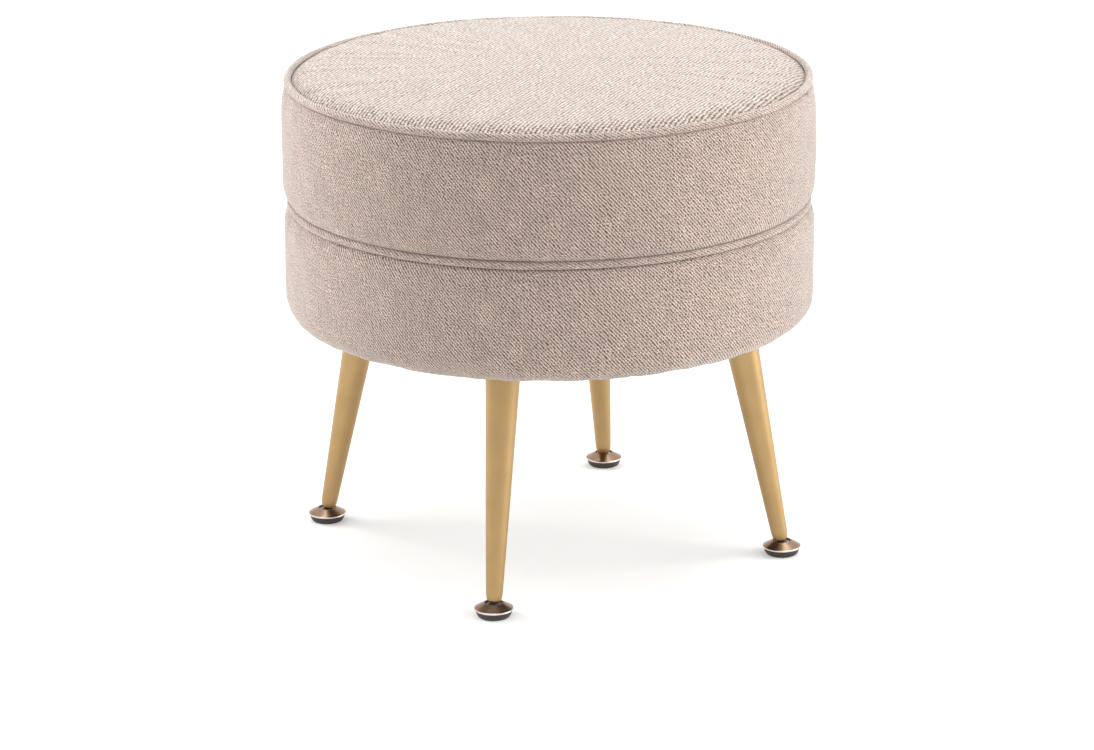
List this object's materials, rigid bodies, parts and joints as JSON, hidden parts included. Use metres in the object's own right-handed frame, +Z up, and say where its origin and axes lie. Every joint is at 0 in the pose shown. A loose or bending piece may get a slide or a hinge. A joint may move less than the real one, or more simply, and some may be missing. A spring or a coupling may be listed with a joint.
{
  "type": "upholstered ottoman",
  "caption": "Round two-tier padded ottoman with piped seams, on slim splayed tapered metal legs with swivel levelling feet; a low seat or footrest.",
  "frame": {"origin": "on the floor, under the middle of the round drum", "axes": "+Z up; the legs stand on the X and Y axes: front is -Y, right is +X, back is +Y, left is -X"},
  "size_m": [0.4498, 0.4498, 0.42],
  "materials": {
    "cover_cloth": "woven",
    "foam": "matte",
    "plywood": "raw",
    "pine": "raw",
    "hardboard": "smooth",
    "lining_cloth": "matte",
    "zinc_steel": "bright",
    "satin_gold": "satin",
    "black_steel": "satin",
    "polished_bronze": "polished",
    "nylon": "matte",
    "black_rubber": "matte"
  },
  "bodies": {
    "frame": {"top_cover": "cover_cloth", "top_welt": "cover_cloth", "upper_band": "cover_cloth", "waist_welt": "cover_cloth", "lower_band": "cover_cloth", "seat_foam": "foam", "upper_foam_wrap": "foam", "lower_foam_wrap": "foam", "base_board": "plywood", "waist_ring": "plywood", "seat_deck": "plywood", "lower_posts": "pine", "upper_posts": "pine", "lower_skin": "hardboard", "upper_skin": "hardboard", "dust_cover": "lining_cloth", "frame_screws": "zinc_steel", "leg_plate_screws": "zinc_steel", "dust_cover_staples": "zinc_steel", "front_leg_insert": "zinc_steel", "right_leg_insert": "zinc_steel", "back_leg_insert": "zinc_steel", "left_leg_insert": "zinc_steel", "front_leg": "satin_gold", "right_leg": "satin_gold", "back_leg": "satin_gold", "left_leg": "satin_gold", "front_leg_plate": "black_steel", "right_leg_plate": "black_steel", "back_leg_plate": "black_steel", "left_leg_plate": "black_steel"},
    "front_stem": {"front_foot_stem": "zinc_steel"},
    "front_socket": {"front_foot_socket": "nylon"},
    "front_base": {"front_foot_cap": "polished_bronze", "front_foot_pad": "black_rubber"},
    "right_stem": {"right_foot_stem": "zinc_steel"},
    "right_socket": {"right_foot_socket": "nylon"},
    "right_base": {"right_foot_cap": "polished_bronze", "right_foot_pad": "black_rubber"},
    "back_stem": {"back_foot_stem": "zinc_steel"},
    "back_socket": {"back_foot_socket": "nylon"},
    "back_base": {"back_foot_cap": "polished_bronze", "back_foot_pad": "black_rubber"},
    "left_stem": {"left_foot_stem": "zinc_steel"},
    "left_socket": {"left_foot_socket": "nylon"},
    "left_base": {"left_foot_cap": "polished_bronze", "left_foot_pad": "black_rubber"}
  },
  "joints": [
    {"name": "front_foot_height", "type": "slide", "parent": "frame", "child": "front_stem", "axis": [0, -0.1994, -0.9799], "range_m": [0, 0.01]},
    {"name": "front_foot_tilt", "type": "hinge", "parent": "front_stem", "child": "front_socket", "pos_m": [0, -0.20255, 0.0075], "axis": [1, 0, 0], "range_deg": [-25, 0]},
    {"name": "front_foot_turn", "type": "hinge", "parent": "front_socket", "child": "front_base", "pos_m": [0, -0.20255, 0.0075], "axis": [0, 0, -1], "range_deg": [0, 2880]},
    {"name": "right_foot_height", "type": "slide", "parent": "frame", "child": "right_stem", "axis": [0.1994, 0, -0.9799], "range_m": [0, 0.01]},
    {"name": "right_foot_tilt", "type": "hinge", "parent": "right_stem", "child": "right_socket", "pos_m": [0.20255, 0, 0.0075], "axis": [0, 1, 0], "range_deg": [-25, 0]},
    {"name": "right_foot_turn", "type": "hinge", "parent": "right_socket", "child": "right_base", "pos_m": [0.20255, 0, 0.0075], "axis": [0, 0, -1], "range_deg": [0, 2880]},
    {"name": "back_foot_height", "type": "slide", "parent": "frame", "child": "back_stem", "axis": [0, 0.1994, -0.9799], "range_m": [0, 0.01]},
    {"name": "back_foot_tilt", "type": "hinge", "parent": "back_stem", "child": "back_socket", "pos_m": [0, 0.20255, 0.0075], "axis": [-1, 0, 0], "range_deg": [-25, 0]},
    {"name": "back_foot_turn", "type": "hinge", "parent": "back_socket", "child": "back_base", "pos_m": [0, 0.20255, 0.0075], "axis": [0, 0, -1], "range_deg": [0, 2880]},
    {"name": "left_foot_height", "type": "slide", "parent": "frame", "child": "left_stem", "axis": [-0.1994, 0, -0.9799], "range_m": [0, 0.01]},
    {"name": "left_foot_tilt", "type": "hinge", "parent": "left_stem", "child": "left_socket", "pos_m": [-0.20255, 0, 0.0075], "axis": [0, -1, 0], "range_deg": [-25, 0]},
    {"name": "left_foot_turn", "type": "hinge", "parent": "left_socket", "child": "left_base", "pos_m": [-0.20255, 0, 0.0075], "axis": [0, 0, -1], "range_deg": [0, 2880]}
  ],
  "couplings": [
    {"joint": "front_foot_turn", "follows": "front_foot_height", "rad_per_m": 5026.5},
    {"joint": "right_foot_turn", "follows": "right_foot_height", "rad_per_m": 5026.5},
    {"joint": "back_foot_turn", "follows": "back_foot_height", "rad_per_m": 5026.5},
    {"joint": "left_foot_turn", "follows": "left_foot_height", "rad_per_m": 5026.5}
  ]
}
